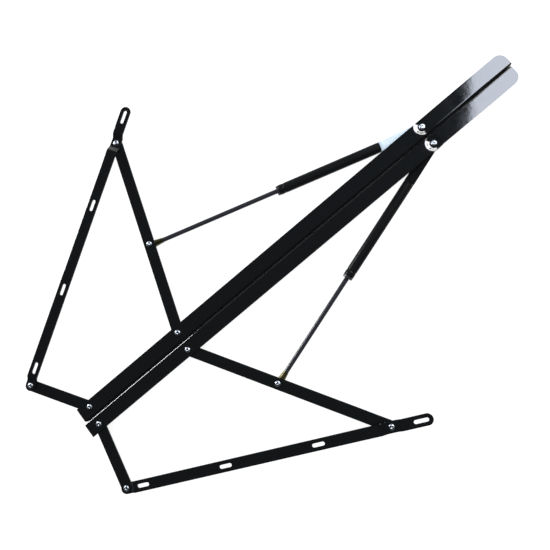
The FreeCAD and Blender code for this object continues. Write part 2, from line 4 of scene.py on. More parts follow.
import bmesh
import bpy
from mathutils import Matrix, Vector


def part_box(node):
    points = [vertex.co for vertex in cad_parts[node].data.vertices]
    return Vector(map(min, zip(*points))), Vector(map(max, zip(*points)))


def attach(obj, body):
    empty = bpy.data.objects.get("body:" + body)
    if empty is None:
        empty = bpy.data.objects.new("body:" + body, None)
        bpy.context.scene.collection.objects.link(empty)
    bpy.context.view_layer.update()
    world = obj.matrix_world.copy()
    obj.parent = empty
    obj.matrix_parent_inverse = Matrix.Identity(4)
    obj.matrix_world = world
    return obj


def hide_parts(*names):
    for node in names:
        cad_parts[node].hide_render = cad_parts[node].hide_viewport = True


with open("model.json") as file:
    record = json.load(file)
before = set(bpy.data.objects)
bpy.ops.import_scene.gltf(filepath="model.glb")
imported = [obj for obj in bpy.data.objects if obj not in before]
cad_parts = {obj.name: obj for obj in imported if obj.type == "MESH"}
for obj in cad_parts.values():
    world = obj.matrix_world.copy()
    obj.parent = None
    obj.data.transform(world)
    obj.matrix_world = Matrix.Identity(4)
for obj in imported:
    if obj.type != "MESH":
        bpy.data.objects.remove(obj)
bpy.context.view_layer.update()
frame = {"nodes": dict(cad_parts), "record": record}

bl_info = {
    "name": "Gas strut bed lift pair",
    "version": (1, 0, 0),
    "blender": (4, 5, 0),
    "location": "View3D > Sidebar > Bed lift",
    "description": "Shapes and finishes a left and right bed lift unit on a pale floor",
    "category": "Object",
}

MM = 0.001
NEARLY = 0.01 * MM  # how close a corner has to be to count as on a line
HANDS = ("left", "right")
SIDE = {"left": 1, "right": -1}
SLOTS = {row["node"]: row["material_slot"] for row in frame["record"]["subparts"]}

# Parts whose look differs from the rest of their material slot.
OWN_FINISH = {
    # The left end bracket's paler zinc carries a painted sheen.
    "left_end_bracket": "sheen_painted_zinc",
    "left_strut_tube": "tube_lacquer",
    "right_strut_tube": "tube_lacquer",
}

# The camera's place in metres, its turn in degrees and its lens in millimetres.
CAMERA_PLACE = (0.0631, -0.2620, 1.2610)
CAMERA_TURN = (5.156, 9.672, -39.221)
CAMERA_LENS = 39.27
CAMERA_SENSOR = 36.0

# The light panels are squared up to the camera's view, and hang over the table.
PANEL_TURN = math.radians(-39.2)
PANEL_HEIGHT = 1.30
UPRIGHT = -math.pi / 2

# Where the base rail's four fixing holes stand in its flange, from the rear pivot.
FLANGE_HOLES = [first * MM for first in (80.0, 400.0, 720.0, 1040.0)]
FLANGE_HOLE_RADIUS = 3.25 * MM
FLANGE_HOLE_HEIGHT = 13.0 * MM

# The lift rail's slots: middle from the rear pivot, and length.
LIFT_SLOTS = [(place * MM, long * MM) for place, long in (
    (41.0, 26.0), (223.5, 26.0), (420.5, 26.0), (629.0, 30.0))]
LIFT_RAIL_TIP = 653.0 * MM


# ---------------------------------------------------------------- sizes and colours

def length(name, description, millimetres):
    """A length that the user can change, shown in the scene's units."""
    return bpy.props.FloatProperty(
        name=name, description=description, default=millimetres * MM, min=0.0,
        precision=5, unit="LENGTH")


class LiftSizes(bpy.types.PropertyGroup):
    """Sizes of the parts that the frame's boxes don't give."""

    wall: length("Rail wall", "Thickness of the angle section", 2.5)
    bend: length("Rail bend", "Outside radius of the angle's bend", 3.5)
    far_corner: length("Far corner", "Radius of the web's far corner", 18.0)
    press_rim: length("Press rim", "Radius of the pressed hollow at the web's face", 18.0)
    press_floor: length("Press floor", "Radius of the pressed hollow's floor", 9.0)
    press_depth: length("Press depth", "Depth of the pressed hollow", 3.0)
    plate: length("Plate", "Thickness of the links and the lift rail", 3.0)
    edge: length("Edge", "Rounding of the punched edges under the paint", 0.4)
    pad: length("Pad", "Flat length each side of a lift rail pivot", 10.0)
    slope: length("Slope", "Length of the slope up to the raised bar", 10.0)
    slot_width: length("Slot width", "Width of the lift rail's slots", 8.0)
    shank: length("Shank", "Radius of the rivets' shanks", 4.0)
    dimple: length("Dimple", "Radius of the hollow in a rivet head", 2.3)
    tube: length("Tube", "Radius of the gas strut's tube", 11.0)
    rod: length("Rod", "Radius of the gas strut's rod", 5.0)


def tint(name, description, value):
    return bpy.props.StringProperty(name=name, description=description, default=value)


class LiftColours(bpy.types.PropertyGroup):
    """Colours of the finishes, as sRGB hex values."""

    enamel: tint("Enamel", "Gloss black stove enamel", "060708")
    zinc: tint("Zinc", "Bright zinc plating", "989FA8")
    # The strip colour is a painted sheen: pale zinc that stands in for light on the left bracket.
    strip: tint("Strip", "Zinc plate on the bracket's rolled strip", "818C96")
    rod_steel: tint("Rod steel", "Black nitrided rods", "131418")
    passivate: tint("Passivate", "Yellow passivated zinc", "625E40")
    passivate_shade: tint("Passivate shade", "Olive patches in the yellow", "3C3A28")
    floor: tint("Floor", "Opal sheet of the light table", "595959")


# ---------------------------------------------------------------- where things stand

def middle(node):
    """The middle of a node's box, on the floor plan."""
    low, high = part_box(node)
    return Vector(((low[0] + high[0]) / 2, (low[1] + high[1]) / 2, 0.0))


def heading(start, end):
    step = end - start
    return math.atan2(step.y, step.x)


def at(pivot):
    """A place and no turn: for pieces turned about an upright pivot."""
    return lambda hand: (middle(f"{hand}_{pivot}"), 0.0)


def from_to(pivot, target):
    """A place and the heading of a bar or strut from one pivot to another."""
    def find(hand):
        start = middle(f"{hand}_{pivot}")
        return start, heading(start, middle(f"{hand}_{target}"))
    return find


# ---------------------------------------------------------------- bench tools

def only(piece):
    """Leave just this piece selected and active."""
    bpy.ops.object.select_all(action="DESELECT")
    piece.select_set(True)
    bpy.context.view_layer.objects.active = piece


def settle(piece, place=(0, 0, 0), turn=(0, 0, 0), scale=(1, 1, 1)):
    """Stand a piece in its place, and put that place into its mesh."""
    only(piece)
    piece.location = place
    piece.rotation_euler = turn
    piece.scale = scale
    bpy.ops.object.transform_apply(location=True, rotation=True, scale=True)


def begin_edit(piece):
    only(piece)
    bpy.ops.object.mode_set(mode="EDIT")
    bpy.ops.mesh.select_mode(type="VERT")


def end_edit():
    bpy.ops.object.mode_set(mode="OBJECT")


def pick(piece, test):
    """In edit mode, select the vertices that pass a test, and what lies between them."""
    bpy.ops.mesh.select_all(action="DESELECT")
    shape = bmesh.from_edit_mesh(piece.data)
    for corner in shape.verts:
        corner.select = test(corner.co)
    shape.select_flush(True)
    bmesh.update_edit_mesh(piece.data)


def close_and_face_out(piece):
    """Merge doubles and point every face of a closed piece outwards."""
    begin_edit(piece)
    bpy.ops.mesh.select_all(action="SELECT")
    bpy.ops.mesh.remove_doubles(threshold=NEARLY)
    bpy.ops.mesh.normals_make_consistent(inside=False)
    end_edit()


def face_sheet_up(piece):
    """Point a sheet's faces the same way, with its widest face up."""
    begin_edit(piece)
    bpy.ops.mesh.select_all(action="SELECT")
    bpy.ops.mesh.normals_make_consistent(inside=False)
    shape = bmesh.from_edit_mesh(piece.data)
    widest = max(shape.faces, key=lambda face: face.calc_area())
    if widest.normal.z < 0:
        bpy.ops.mesh.flip_normals()
    end_edit()


def apply_modifier(piece, kind, settings):
    only(piece)
    modifier = piece.modifiers.new(kind.lower(), kind)
    for name, value in settings.items():
        setattr(modifier, name, value)
    bpy.ops.object.modifier_apply(modifier=modifier.name)


def thicken(piece, thickness):
    """Give a sheet its thickness, below and behind its face."""
    apply_modifier(piece, "SOLIDIFY", {
        "thickness": thickness, "offset": -1.0, "use_even_offset": True})


def ease_edges(piece, width, angle=40.0):
    apply_modifier(piece, "BEVEL", {
        "width": width, "segments": 2, "limit_method": "ANGLE",
        "angle_limit": math.radians(angle), "use_clamp_overlap": True})


def cut_out(piece, *cutters):
    """Cut each cutter's shape from a piece, and put the cutter away."""
    for cutter in cutters:
        apply_modifier(piece, "BOOLEAN", {
            "operation": "DIFFERENCE", "object": cutter, "solver": "EXACT"})
        bpy.data.objects.remove(cutter)


def smooth(piece, angle=35.0):
    only(piece)
    bpy.ops.object.shade_smooth_by_angle(angle=math.radians(angle))


def turned(name, profile, rings=48, hollow=False):
    """A lathe-turned piece about Z: a ring is extruded and scaled through the profile."""
    bpy.ops.object.select_all(action="DESELECT")
    radius, level = profile[0]
    bpy.ops.mesh.primitive_circle_add(
        vertices=rings, radius=radius, location=(0, 0, level),
        fill_type="NOTHING" if hollow else "NGON")
    piece = bpy.context.object
    piece.name = name
    bpy.ops.object.transform_apply(location=True, rotation=True, scale=True)
    begin_edit(piece)
    bpy.ops.mesh.select_all(action="SELECT")
    steps = profile[1:] + profile[:1] if hollow else profile[1:]
    for next_radius, next_level in steps:
        rise = next_level - level
        bpy.ops.mesh.extrude_region_move(
            TRANSFORM_OT_translate={"value": (0, 0, rise)})
        ratio = next_radius / radius
        bpy.ops.transform.resize(
            value=(ratio, ratio, 1), center_override=(0, 0, next_level))
        radius, level = next_radius, next_level
    end_edit()
    close_and_face_out(piece)
    return piece


def round_bar(name, radius, reach, level, rounds=64):
    """A flat sheet with round ends, from one pivot to the next along X."""
    bpy.ops.object.select_all(action="DESELECT")
    bpy.ops.mesh.primitive_circle_add(
        vertices=rounds, radius=radius, fill_type="NGON", location=(0, 0, level),
        rotation=(0, 0, math.pi / rounds))
    piece = bpy.context.object
    piece.name = name
    bpy.ops.object.transform_apply(location=True, rotation=True, scale=True)
    begin_edit(piece)
    pick(piece, lambda co: co.x > 0)
    bpy.ops.transform.translate(value=(reach, 0, 0))
    end_edit()
    return piece


def slice_across(piece, places, clear_beyond=False):
    """Cut lines across a sheet at places along X."""
    begin_edit(piece)
    for x in places:
        bpy.ops.mesh.select_all(action="SELECT")
        bpy.ops.mesh.bisect(
            plane_co=(x, 0, 0), plane_no=(1, 0, 0), clear_outer=clear_beyond)
    end_edit()


def drill(radius, x, y, low, high):
    """A round cutter, upright."""
    cutter = turned("drill", [(radius, low), (radius, high)], 32)
    settle(cutter, (x, y, 0))
    return cutter


def slot_punch(x, travel, radius, low, high):
    """A slot-shaped cutter, upright, along X."""
    cutter = round_bar("slot_punch", radius, travel, high, 32)
    face_sheet_up(cutter)
    thicken(cutter, high - low)
    settle(cutter, (x - travel / 2, 0, 0))
    return cutter


def fit_pair(pattern, node, body, find, mirrored=False):
    """Copy a pattern to both hands, each in its place, in place of the frame's node."""
    for hand in HANDS:
        name = f"{hand}_{node}"
        piece = pattern.copy()
        piece.data = pattern.data.copy()
        bpy.context.scene.collection.objects.link(piece)
        piece.name = f"{name}_shaped"
        piece.data.name = piece.name
        place, turn = find(hand)
        flip = SIDE[hand] if mirrored else 1
        settle(piece, place, (0, 0, turn), (1, flip, 1))
        if flip < 0:
            close_and_face_out(piece)
        piece.data.materials.clear()
        piece.data.materials.append(MATERIALS[OWN_FINISH.get(name, SLOTS[name])])
        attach(piece, f"{hand}_{body}")
        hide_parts(name)
    bpy.data.objects.remove(pattern)


# ---------------------------------------------------------------- pieces

def head_profile(top, foot, head, sizes):
    """A domed head with a hollow in its middle, from the hollow's floor to the rim."""
    hollow = sizes.dimple
    rise = top - foot
    dome = head - hollow
    return [
        (0.1 * hollow, top - 0.46 * rise), (0.45 * hollow, top - 0.42 * rise),
        (0.78 * hollow, top - 0.22 * rise), (0.96 * hollow, top - 0.05 * rise),
        (hollow + 0.08 * dome, top), (hollow + 0.28 * dome, top - 0.05 * rise),
        (hollow + 0.52 * dome, top - 0.18 * rise), (hollow + 0.74 * dome, top - 0.38 * rise),
        (hollow + 0.90 * dome, top - 0.62 * rise), (hollow + 0.98 * dome, top - 0.84 * rise),
        (head, foot)]


class BEDLIFT_OT_rivets(bpy.types.Operator):
    """Turn the domed rivets and studs"""

    bl_idname = "bedlift.rivets"
    bl_label = "Rivets"

    def execute(self, context):
        sizes = context.scene.lift_sizes
        shank = sizes.shank
        head_height = 3.0 * MM
        tail_height = 2.0 * MM
        tail = 6.0 * MM
        for node, body in (("rear_pivot_rivet", "rail"), ("main_pivot_rivet", "rail"),
                           ("front_lift_rivet", "lift_rail"), ("rear_lift_rivet", "lift_rail"),
                           ("anchor_stud", "rail"), ("strut_stud", "long_link")):
            low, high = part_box(f"left_{node}")
            head = (high[0] - low[0]) / 2
            under_head = high[2] - head_height
            profile = head_profile(high[2], under_head, head, sizes)
            profile.append((shank, under_head))
            if node in ("rear_lift_rivet", "anchor_stud"):
                profile += [(shank, low[2] + 0.5 * MM), (shank - 0.5 * MM, low[2])]
            elif node == "strut_stud":
                shoulder = 5.0 * MM
                ledge = under_head - sizes.plate
                profile += [(shank, ledge), (shoulder, ledge), (shoulder, low[2])]
            else:
                foot = low[2] + tail_height
                profile += [(shank, foot), (tail, foot), (tail, low[2] + 0.8 * MM),
                            (tail - 0.8 * MM, low[2])]
            pattern = turned(node, profile)
            smooth(pattern)
            fit_pair(pattern, node, body, at(node))
        return {"FINISHED"}


class BEDLIFT_OT_links(bpy.types.Operator):
    """Punch the short and long links from flat bar"""

    bl_idname = "bedlift.links"
    bl_label = "Links"

    def execute(self, context):
        sizes = context.scene.lift_sizes
        low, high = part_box("left_short_link")
        floor, top = low[2], high[2]
        half = 12.5 * MM
        for node, start, end, holes in (
                ("short_link", "rear_pivot_rivet", "rear_lift_rivet", ()),
                ("long_link", "main_pivot_rivet", "front_lift_rivet", ("strut_stud",))):
            first = middle(f"left_{start}")
            reach = (middle(f"left_{end}") - first).length
            pattern = round_bar(node, half, reach, top)
            face_sheet_up(pattern)
            thicken(pattern, top - floor)
            ease_edges(pattern, sizes.edge)
            places = [0.0, reach]
            places += [(middle(f"left_{hole}") - first).length for hole in holes]
            cut_out(pattern, *[
                drill(sizes.shank, x, 0, floor - MM, top + MM) for x in places])
            smooth(pattern, 20.0)
            fit_pair(pattern, node, node, from_to(start, end))
        return {"FINISHED"}


class BEDLIFT_OT_lift_rails(bpy.types.Operator):
    """Joggle and slot the lift rails"""

    bl_idname = "bedlift.lift_rails"
    bl_label = "Lift rails"

    def execute(self, context):
        sizes = context.scene.lift_sizes
        low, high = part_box("left_lift_rail")
        start, end = middle("left_rear_lift_rivet"), middle("left_front_lift_rivet")
        reach = (end - start).length
        half = 12.0 * MM
        pad_top = low[2] + sizes.plate
        step = high[2] - pad_top
        pattern = round_bar("lift_rail", half, LIFT_RAIL_TIP - half, pad_top)
        up_first = sizes.pad + sizes.slope
        down_last = reach - up_first
        up_again = reach + up_first
        creases = (sizes.pad, up_first, down_last, reach - sizes.pad,
                   reach + sizes.pad, up_again)
        slice_across(pattern, creases)
        begin_edit(pattern)
        pick(pattern, lambda co: up_first - NEARLY < co.x < down_last + NEARLY
             or co.x > up_again - NEARLY)
        bpy.ops.transform.translate(value=(0, 0, step))
        for crease in creases:
            pick(pattern, lambda co: abs(co.x - crease) < NEARLY)
            bpy.ops.mesh.bevel(offset=2.0 * MM, segments=4)
        end_edit()
        face_sheet_up(pattern)
        thicken(pattern, sizes.plate)
        ease_edges(pattern, sizes.edge)
        radius = sizes.slot_width / 2
        floor, top = low[2] - MM, high[2] + MM
        punches = [
            slot_punch(place, long - 2 * radius, radius, floor, top)
            for place, long in LIFT_SLOTS]
        punches += [drill(sizes.shank, x, 0, floor, top) for x in (0.0, reach)]
        cut_out(pattern, *punches)
        smooth(pattern, 20.0)
        fit_pair(pattern, "lift_rail", "lift_rail", from_to("rear_lift_rivet", "front_lift_rivet"))
        return {"FINISHED"}


class BEDLIFT_OT_base_rails(bpy.types.Operator):
    """Fold the angle section base rails and press their hollows"""

    bl_idname = "bedlift.base_rails"
    bl_label = "Base rails"

    def execute(self, context):
        sizes = context.scene.lift_sizes
        low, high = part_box("left_base_rail")
        rear, anchor = middle("left_rear_pivot_rivet"), middle("left_anchor_stud")
        main = middle("left_main_pivot_rivet")
        inner = low[1]
        web = high[1] - inner
        top = high[2]
        pivot = rear.y - inner
        near_end, far_end = low[0] - rear.x, high[0] - rear.x
        press = anchor.x - rear.x
        patch = 20.0 * MM
        pattern = self.web_sheet(sizes, web, top, near_end, far_end, press, patch)
        self.press_hollow(pattern, sizes, press, pivot)
        self.fold_flange(pattern, sizes, top)
        face_sheet_up(pattern)
        thicken(pattern, sizes.wall)
        ease_edges(pattern, sizes.edge, 50.0)
        cutters = [drill(sizes.shank, x, pivot, top - 10 * MM, top + 10 * MM)
                   for x in (0.0, main.x - rear.x, press)]
        for place in FLANGE_HOLES:
            hole = turned(
                "flange_drill",
                [(FLANGE_HOLE_RADIUS, -8 * MM), (FLANGE_HOLE_RADIUS, 8 * MM)], 32)
            settle(hole, (place, 0, FLANGE_HOLE_HEIGHT), (math.pi / 2, 0, 0))
            cutters.append(hole)
        cut_out(pattern, *cutters)
        smooth(pattern, 20.0)

        def find(hand):
            low_corner, high_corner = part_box(f"{hand}_base_rail")
            inside = low_corner[1] if hand == "left" else high_corner[1]
            return Vector((middle(f"{hand}_rear_pivot_rivet").x, inside, 0)), 0.0

        fit_pair(pattern, "base_rail", "rail", find, mirrored=True)
        # The flanges get a dull black as painted shade in the gap between the rails.
        for hand in HANDS:
            self.dull_flange_as_shade(bpy.data.objects[f"{hand}_base_rail_shaped"], top - sizes.bend)
        return {"FINISHED"}

    def dull_flange_as_shade(self, piece, below):
        """The upright flange's faces: a dull black with almost no reflection, painted shade for
        the gap between the rails.
        """
        piece.data.materials.append(MATERIALS["thin_enamel"])
        for face in piece.data.polygons:
            if face.center.z < below and abs(face.normal.y) > 0.9:
                face.material_index = 1

    def web_sheet(self, sizes, web, top, near_end, far_end, press, patch):
        """The web's face: a fine patch around the anchor, drawn out to both ends."""
        bpy.ops.object.select_all(action="DESELECT")
        wide = web - sizes.bend
        bpy.ops.mesh.primitive_grid_add(
            x_subdivisions=48, y_subdivisions=36, size=1.0,
            location=(press, sizes.bend + wide / 2, top))
        piece = bpy.context.object
        piece.name = "base_rail"
        piece.scale = (2 * patch, wide, 1)
        bpy.ops.object.transform_apply(location=True, rotation=True, scale=True)
        begin_edit(piece)
        pick(piece, lambda co: co.x < press - patch + NEARLY)
        bpy.ops.mesh.extrude_region_move(
            TRANSFORM_OT_translate={"value": (near_end - (press - patch), 0, 0)})
        pick(piece, lambda co: co.x > press + patch - NEARLY)
        corner = sizes.far_corner
        place = far_end - corner
        bpy.ops.mesh.extrude_region_move(
            TRANSFORM_OT_translate={"value": (place - (press + patch), 0, 0)})
        steps = 12
        reach = wide
        for step in range(1, steps + 1):
            swing = step / steps * math.pi / 2
            next_place = far_end - corner + corner * math.sin(swing)
            next_reach = wide - corner + corner * math.cos(swing)
            bpy.ops.mesh.extrude_region_move(
                TRANSFORM_OT_translate={"value": (next_place - place, 0, 0)})
            bpy.ops.transform.resize(
                value=(1, next_reach / reach, 1),
                center_override=(next_place, sizes.bend, top))
            place, reach = next_place, next_reach
        end_edit()
        return piece

    def press_hollow(self, piece, sizes, press, pivot):
        """Push the patch down around the anchor, with a soft shoulder and foot."""
        for corner in piece.data.vertices:
            away = math.hypot(corner.co.x - press, corner.co.y - pivot)
            fall = (sizes.press_rim - away) / (sizes.press_rim - sizes.press_floor)
            fall = min(max(fall, 0.0), 1.0)
            eased = fall * fall * (3 - 2 * fall)
            corner.co.z -= sizes.press_depth * (0.65 * fall + 0.35 * eased)

    def fold_flange(self, piece, sizes, top):
        """Draw the web's inner edge round the bend and down to the floor."""
        bend = sizes.bend
        begin_edit(piece)
        pick(piece, lambda co: co.y < bend + NEARLY)
        steps = 8
        previous = (0.0, 0.0)
        for step in range(1, steps + 1):
            swing = step / steps * math.pi / 2
            spot = (-bend * math.sin(swing), bend * math.cos(swing) - bend)
            bpy.ops.mesh.extrude_region_move(TRANSFORM_OT_translate={
                "value": (0, spot[0] - previous[0], spot[1] - previous[1])})
            previous = spot
        bpy.ops.mesh.extrude_region_move(
            TRANSFORM_OT_translate={"value": (0, 0, -(top - bend))})
        bpy.ops.transform.resize(value=(1, 1, 0), center_override=(0, 0, 0))
        end_edit()


class BEDLIFT_OT_struts(bpy.types.Operator):
    """Roll the gas strut tubes, and turn the rods and their ends"""

    bl_idname = "bedlift.struts"
    bl_label = "Gas struts"

    def execute(self, context):
        sizes = context.scene.lift_sizes
        level = 12.0 * MM
        along = from_to("anchor_stud", "strut_stud")
        back = from_to("strut_stud", "anchor_stud")
        tube, rod = sizes.tube, sizes.rod
        start, mouth, cap_end = 95.0 * MM, 322.0 * MM, 327.0 * MM
        bore = 9.5 * MM
        crimp = 310.0 * MM
        lip = 1.2 * MM
        shell = [
            (bore, start), (tube, start), (tube, crimp - 2.4 * MM),
            (tube - 0.25 * MM, crimp - 1.6 * MM), (tube - 0.75 * MM, crimp - 0.6 * MM),
            (tube - 0.8 * MM, crimp), (tube - 0.75 * MM, crimp + 0.6 * MM),
            (tube - 0.25 * MM, crimp + 1.6 * MM), (tube, crimp + 2.4 * MM), (tube, mouth - lip),
            (tube - 0.4 * lip, mouth - 0.4 * lip), (tube - lip, mouth), (bore, mouth)]
        pattern = self.laid_along(turned("strut_tube", shell, 64, hollow=True), level)
        fit_pair(pattern, "strut_tube", "strut_cylinder", along)

        gap = 0.05 * MM
        collar = tube - 0.4 * MM
        ring = [
            (rod + gap, mouth), (collar, mouth), (collar, cap_end - 1.4 * MM),
            (collar - 0.4 * MM, cap_end - 0.5 * MM), (collar - 1.4 * MM, cap_end),
            (rod + 1.6 * MM, cap_end), (rod + gap, cap_end - 1.2 * MM)]
        pattern = self.laid_along(turned("gland_cap", ring, 64, hollow=True), level)
        fit_pair(pattern, "gland_cap", "strut_cylinder", along)

        shaft = [
            (rod - 0.6 * MM, 14.0 * MM), (rod, 14.6 * MM), (rod, 329.4 * MM),
            (rod - 0.6 * MM, 330.0 * MM), (3.5 * MM, 330.0 * MM), (3.5 * MM, 345.0 * MM)]
        pattern = self.laid_along(turned("strut_rod", shaft, 48), level)
        fit_pair(pattern, "strut_rod", "strut_rod", back)

        cone = [
            (3.0 * MM, 8.0 * MM), (6.4 * MM, 8.0 * MM), (7.3 * MM, 8.8 * MM),
            (7.5 * MM, 10.4 * MM), (7.0 * MM, 14.5 * MM), (6.3 * MM, 20.0 * MM),
            (5.8 * MM, 25.0 * MM), (5.6 * MM, 28.0 * MM), (rod + gap, 28.0 * MM),
            (rod + gap, 14.0 * MM), (3.0 * MM, 14.0 * MM)]
        pattern = self.laid_along(turned("rod_end", cone, 48), level)
        blade = round_bar("blade", 9.0 * MM, 4.0 * MM, level + 2.5 * MM)
        face_sheet_up(blade)
        thicken(blade, 5.0 * MM)
        ease_edges(blade, 0.5 * MM)
        apply_modifier(pattern, "BOOLEAN", {
            "operation": "UNION", "object": blade, "solver": "EXACT"})
        bpy.data.objects.remove(blade)
        cut_out(pattern, drill(sizes.shank, 0, 0, level - 8 * MM, level + 8 * MM))
        smooth(pattern)
        fit_pair(pattern, "rod_end", "strut_rod", back)
        return {"FINISHED"}

    def laid_along(self, piece, level):
        """Lay a turned piece down along X at its height."""
        settle(piece, (0, 0, level), (0, math.pi / 2, 0))
        smooth(piece)
        return piece


class BEDLIFT_OT_brackets(bpy.types.Operator):
    """Crank the flat end brackets"""

    bl_idname = "bedlift.brackets"
    bl_label = "End brackets"

    def execute(self, context):
        sizes = context.scene.lift_sizes
        low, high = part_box("left_end_bracket")
        eye = 11.0 * MM
        drop = 10.0 * MM
        flat, slope_end, end = 15.0 * MM, 78.0 * MM, 92.0 * MM
        pattern = round_bar("end_bracket", eye, end + eye, high[2])
        slice_across(pattern, (end,), clear_beyond=True)
        slice_across(pattern, (flat, slope_end))
        begin_edit(pattern)
        pick(pattern, lambda co: co.x > slope_end - NEARLY)
        bpy.ops.transform.translate(value=(0, 0, -drop))
        for crease in (flat, slope_end):
            pick(pattern, lambda co: abs(co.x - crease) < NEARLY)
            bpy.ops.mesh.bevel(offset=3.0 * MM, segments=4)
        end_edit()
        face_sheet_up(pattern)
        thicken(pattern, sizes.plate)
        ease_edges(pattern, sizes.edge)
        cut_out(pattern, drill(sizes.shank, 0, 0, high[2] - 8 * MM, high[2] + 8 * MM))
        smooth(pattern)
        fit_pair(pattern, "end_bracket", "strut_cylinder", from_to("anchor_stud", "strut_stud"))
        return {"FINISHED"}


# ---------------------------------------------------------------- material helpers

def colour(hex_value):
    """sRGB hex to the linear RGBA that the shader sockets take."""
    channels = [int(hex_value[i:i + 2], 16) / 255 for i in (0, 2, 4)]
    linear = [c / 12.92 if c <= 0.04045 else ((c + 0.055) / 1.055) ** 2.4 for c in channels]
    return (*linear, 1.0)


def add_node(material, kind, settings=None, inputs=None):
    """A node with its settings; an input value that is a socket is linked."""
    tree = material.node_tree
    node = tree.nodes.new(kind)
    for name, value in (settings or {}).items():
        setattr(node, name, value)
    for name, value in (inputs or {}).items():
        if isinstance(value, bpy.types.NodeSocket):
            tree.links.new(value, node.inputs[name])
        else:
            node.inputs[name].default_value = value
    return node


def new_material(name):
    material = bpy.data.materials.new(name)
    material.use_nodes = True
    material.node_tree.nodes.clear()
    return material


def finish(material, shader):
    output = add_node(material, "ShaderNodeOutputMaterial")
    material.node_tree.links.new(shader.outputs["BSDF"], output.inputs["Surface"])
    return material


def noise(material, size_mm, detail=3.0, roughness=0.5, stretch=(1, 1, 1)):
    """Noise on object coordinates whose features are about size_mm across."""
    place = add_node(material, "ShaderNodeTexCoord")
    mapping = add_node(
        material, "ShaderNodeMapping", None,
        {"Vector": place.outputs["Object"], "Scale": stretch})
    return add_node(
        material, "ShaderNodeTexNoise", None,
        {"Vector": mapping.outputs["Vector"], "Scale": 1.0 / (size_mm * MM),
         "Detail": detail, "Roughness": roughness})


def ramp(material, factor, low, high):
    """Maps a factor of 0.3 to 0.7 on to two values."""
    node = add_node(
        material, "ShaderNodeMapRange", None,
        {"Value": factor, "From Min": 0.3, "From Max": 0.7, "To Min": low, "To Max": high})
    return node.outputs["Result"]


def bump(material, height, distance_mm, strength, normal=None):
    inputs = {"Height": height, "Distance": distance_mm * MM, "Strength": strength}
    if normal is not None:
        inputs["Normal"] = normal
    return add_node(material, "ShaderNodeBump", None, inputs).outputs["Normal"]


def gloss_enamel(colours):
    """Stove enamel: a deep black gloss with the soft waviness of sprayed and baked paint."""
    material = new_material("gloss_black_enamel")
    peel = noise(material, 7.0, 2.0)
    grain = noise(material, 2.2, 2.0)
    normal = bump(material, peel.outputs["Fac"], 0.05, 0.5)
    normal = bump(material, grain.outputs["Fac"], 0.012, 0.4, normal)
    cloud = noise(material, 28.0, 4.0)
    shader = add_node(
        material, "ShaderNodeBsdfPrincipled", None,
        {"Base Color": colour(colours.enamel), "IOR": 1.5, "Normal": normal,
         "Roughness": ramp(material, cloud.outputs["Fac"], 0.05, 0.10)})
    return finish(material, shader)


def bright_zinc(colours):
    """Zinc plate: bright, faintly clouded, with fine handling marks."""
    material = new_material("bright_zinc_plate")
    cloud = noise(material, 5.0, 4.0)
    marks = noise(material, 0.8, 3.0)
    shader = add_node(
        material, "ShaderNodeBsdfPrincipled", None,
        {"Base Color": colour(colours.zinc), "Metallic": 1.0,
         "Roughness": ramp(material, cloud.outputs["Fac"], 0.34, 0.44),
         "Normal": bump(material, marks.outputs["Fac"], 0.002, 0.2)})
    return finish(material, shader)


def sheen_painted_zinc(colours):
    """Zinc plate on the left end bracket, paler and partly diffuse: a painted sheen that stands in
    for the light the bracket catches.
    """
    material = new_material("zinc_with_painted_sheen")
    cloud = noise(material, 6.0, 3.0)
    shader = add_node(
        material, "ShaderNodeBsdfPrincipled", None,
        {"Base Color": colour(colours.strip), "Metallic": 0.35,
         "Roughness": ramp(material, cloud.outputs["Fac"], 0.32, 0.42)})
    return finish(material, shader)


def thin_enamel(colours):
    """The enamel's black with almost no reflection and no gloss: painted shade on the upright
    flange in the gap between the rails.
    """
    material = new_material("matt_black_painted_shade")
    grain = noise(material, 1.6, 3.0)
    shader = add_node(
        material, "ShaderNodeBsdfPrincipled", None,
        {"Base Color": colour(colours.enamel), "Specular IOR Level": 0.05,
         "Roughness": ramp(material, grain.outputs["Fac"], 0.5, 0.6)})
    return finish(material, shader)


def satin_lacquer(colours):
    """Lacquer on the strut tubes: black and even, with less gloss than the enamel."""
    material = new_material("satin_black_lacquer")
    cloud = noise(material, 20.0, 3.0)
    shader = add_node(
        material, "ShaderNodeBsdfPrincipled", None,
        {"Base Color": colour(colours.enamel), "Specular IOR Level": 0.06,
         "Roughness": ramp(material, cloud.outputs["Fac"], 0.26, 0.34)})
    return finish(material, shader)


def black_nitride(colours):
    """Nitrided and polished rod steel: grey-black, with fine rings left by the grinding."""
    material = new_material("polished_black_nitride")
    grind = noise(material, 1.2, 2.0)
    shader = add_node(
        material, "ShaderNodeBsdfPrincipled", None,
        {"Base Color": colour(colours.rod_steel), "Specular IOR Level": 0.25,
         "Roughness": ramp(material, grind.outputs["Fac"], 0.16, 0.24),
         "Normal": bump(material, grind.outputs["Fac"], 0.004, 0.3)})
    return finish(material, shader)


def yellow_passivate(colours):
    """Yellow chromate on zinc: dull gold that shifts towards olive in patches."""
    material = new_material("yellow_passivated_zinc")
    cloud = noise(material, 4.0, 3.0)
    blend = add_node(
        material, "ShaderNodeMix", {"data_type": "RGBA"}, {"Factor": cloud.outputs["Fac"]})
    blend.inputs[6].default_value = colour(colours.passivate)
    blend.inputs[7].default_value = colour(colours.passivate_shade)
    shader = add_node(
        material, "ShaderNodeBsdfPrincipled", None,
        {"Base Color": blend.outputs[2], "Metallic": 1.0,
         "Roughness": ramp(material, cloud.outputs["Fac"], 0.36, 0.48)})
    return finish(material, shader)


